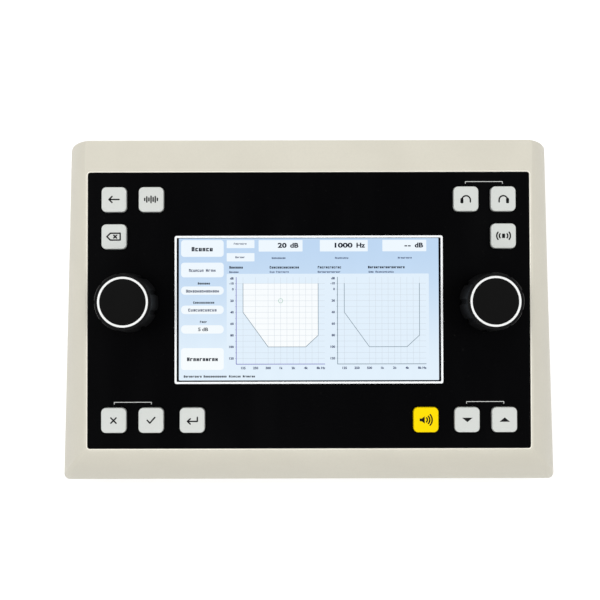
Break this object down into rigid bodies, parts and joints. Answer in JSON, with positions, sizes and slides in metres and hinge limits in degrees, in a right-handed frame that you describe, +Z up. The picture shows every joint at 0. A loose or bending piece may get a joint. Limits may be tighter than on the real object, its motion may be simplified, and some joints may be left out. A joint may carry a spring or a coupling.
{
  "type": "audiometer",
  "caption": "Sloping desk console with a lit display, square keys, two rotary dials and a recessed connector bay at the rear.",
  "frame": {"origin": "under the middle of the case, on the plane the feet stand on", "axes": "+X to the user's right, +Y to the rear wall with the connectors, +Z up"},
  "size_m": [0.3014, 0.206, 0.0779],
  "materials": {
    "shell": "light beige, finely textured, satin",
    "panel": "black, satin film over a stiff plate",
    "frame": "light grey, satin",
    "glass": "lit display under touch glass",
    "lcd": "dark glass sandwich",
    "metal": "stamped steel",
    "nickel": "bright nickel",
    "board": "green solder mask",
    "chips": "black moulded packages",
    "key_grey": "light grey keycap, satin",
    "key_yellow": "yellow keycap, satin",
    "dial": "black, fine matte",
    "ring": "white inlay",
    "black_part": "black moulded part",
    "ribbon": "flat cable",
    "rubber": "black rubber"
  },
  "bodies": {
    "console": {"base_shell": "shell", "top_shell": "shell", "rear_panel": "shell", "faceplate": "panel", "window_frame": "frame", "display_gasket": "rubber", "touch_glass": "glass", "lcd_panel": "lcd", "lcd_frame": "metal", "display_brackets": "metal", "key_board": "board", "key_switches": "chips", "panel_standoffs": "nickel", "encoder_bodies": "metal", "encoder_nuts": "nickel", "main_board": "board", "board_components": "chips", "display_ribbon": "ribbon", "key_ribbon": "ribbon", "phone_jacks": "black_part", "jack_nuts": "nickel", "power_jack": "black_part", "usb_socket": "metal", "switch_housing": "black_part", "rubber_feet": "rubber", "case_screws": "nickel", "board_screws": "nickel"},
    "back_key": {"key_back": "key_grey", "plunger_back": "black_part"},
    "mask_key": {"key_mask": "key_grey", "plunger_mask": "black_part"},
    "delete_key": {"key_delete": "key_grey", "plunger_delete": "black_part"},
    "left_key": {"key_left": "key_grey", "plunger_left": "black_part"},
    "right_key": {"key_right": "key_grey", "plunger_right": "black_part"},
    "bone_key": {"key_bone": "key_grey", "plunger_bone": "black_part"},
    "no_key": {"key_no": "key_grey", "plunger_no": "black_part"},
    "yes_key": {"key_yes": "key_grey", "plunger_yes": "black_part"},
    "enter_key": {"key_enter": "key_grey", "plunger_enter": "black_part"},
    "signal_key": {"key_signal": "key_yellow", "plunger_signal": "black_part"},
    "down_key": {"key_down": "key_grey", "plunger_down": "black_part"},
    "up_key": {"key_up": "key_grey", "plunger_up": "black_part"},
    "left_dial": {"dial_left": "dial", "dial_shaft_left": "nickel", "dial_cap_left": "dial", "dial_ring_left": "ring"},
    "right_dial": {"dial_right": "dial", "dial_shaft_right": "nickel", "dial_cap_right": "dial", "dial_ring_right": "ring"},
    "power_rocker": {"switch_rocker": "black_part"}
  },
  "joints": [
    {"name": "back_key_press", "type": "slide", "parent": "console", "child": "back_key", "axis": [0, 0.0924, -0.9957], "range_m": [0, 0.0012], "stiffness_N_per_m": 1500, "springref_m": -0.0005},
    {"name": "mask_key_press", "type": "slide", "parent": "console", "child": "mask_key", "axis": [0, 0.0924, -0.9957], "range_m": [0, 0.0012], "stiffness_N_per_m": 1500, "springref_m": -0.0005},
    {"name": "delete_key_press", "type": "slide", "parent": "console", "child": "delete_key", "axis": [0, 0.0924, -0.9957], "range_m": [0, 0.0012], "stiffness_N_per_m": 1500, "springref_m": -0.0005},
    {"name": "left_key_press", "type": "slide", "parent": "console", "child": "left_key", "axis": [0, 0.0924, -0.9957], "range_m": [0, 0.0012], "stiffness_N_per_m": 1500, "springref_m": -0.0005},
    {"name": "right_key_press", "type": "slide", "parent": "console", "child": "right_key", "axis": [0, 0.0924, -0.9957], "range_m": [0, 0.0012], "stiffness_N_per_m": 1500, "springref_m": -0.0005},
    {"name": "bone_key_press", "type": "slide", "parent": "console", "child": "bone_key", "axis": [0, 0.0924, -0.9957], "range_m": [0, 0.0012], "stiffness_N_per_m": 1500, "springref_m": -0.0005},
    {"name": "no_key_press", "type": "slide", "parent": "console", "child": "no_key", "axis": [0, 0.0924, -0.9957], "range_m": [0, 0.0012], "stiffness_N_per_m": 1500, "springref_m": -0.0005},
    {"name": "yes_key_press", "type": "slide", "parent": "console", "child": "yes_key", "axis": [0, 0.0924, -0.9957], "range_m": [0, 0.0012], "stiffness_N_per_m": 1500, "springref_m": -0.0005},
    {"name": "enter_key_press", "type": "slide", "parent": "console", "child": "enter_key", "axis": [0, 0.0924, -0.9957], "range_m": [0, 0.0012], "stiffness_N_per_m": 1500, "springref_m": -0.0005},
    {"name": "signal_key_press", "type": "slide", "parent": "console", "child": "signal_key", "axis": [0, 0.0924, -0.9957], "range_m": [0, 0.0012], "stiffness_N_per_m": 1500, "springref_m": -0.0005},
    {"name": "down_key_press", "type": "slide", "parent": "console", "child": "down_key", "axis": [0, 0.0924, -0.9957], "range_m": [0, 0.0012], "stiffness_N_per_m": 1500, "springref_m": -0.0005},
    {"name": "up_key_press", "type": "slide", "parent": "console", "child": "up_key", "axis": [0, 0.0924, -0.9957], "range_m": [0, 0.0012], "stiffness_N_per_m": 1500, "springref_m": -0.0005},
    {"name": "left_dial_turn", "type": "hinge", "parent": "console", "child": "left_dial", "pos_m": [-0.10725, 0.00262, 0.05291], "axis": [0, -0.0924, 0.9957], "continuous": true},
    {"name": "right_dial_turn", "type": "hinge", "parent": "console", "child": "right_dial", "pos_m": [0.10725, 0.00262, 0.05291], "axis": [0, -0.0924, 0.9957], "continuous": true},
    {"name": "power_rocker_swing", "type": "hinge", "parent": "console", "child": "power_rocker", "pos_m": [0.082, 0.095, 0.0205], "axis": [0, 0, 1], "range_deg": [-14, 0]}
  ]
}
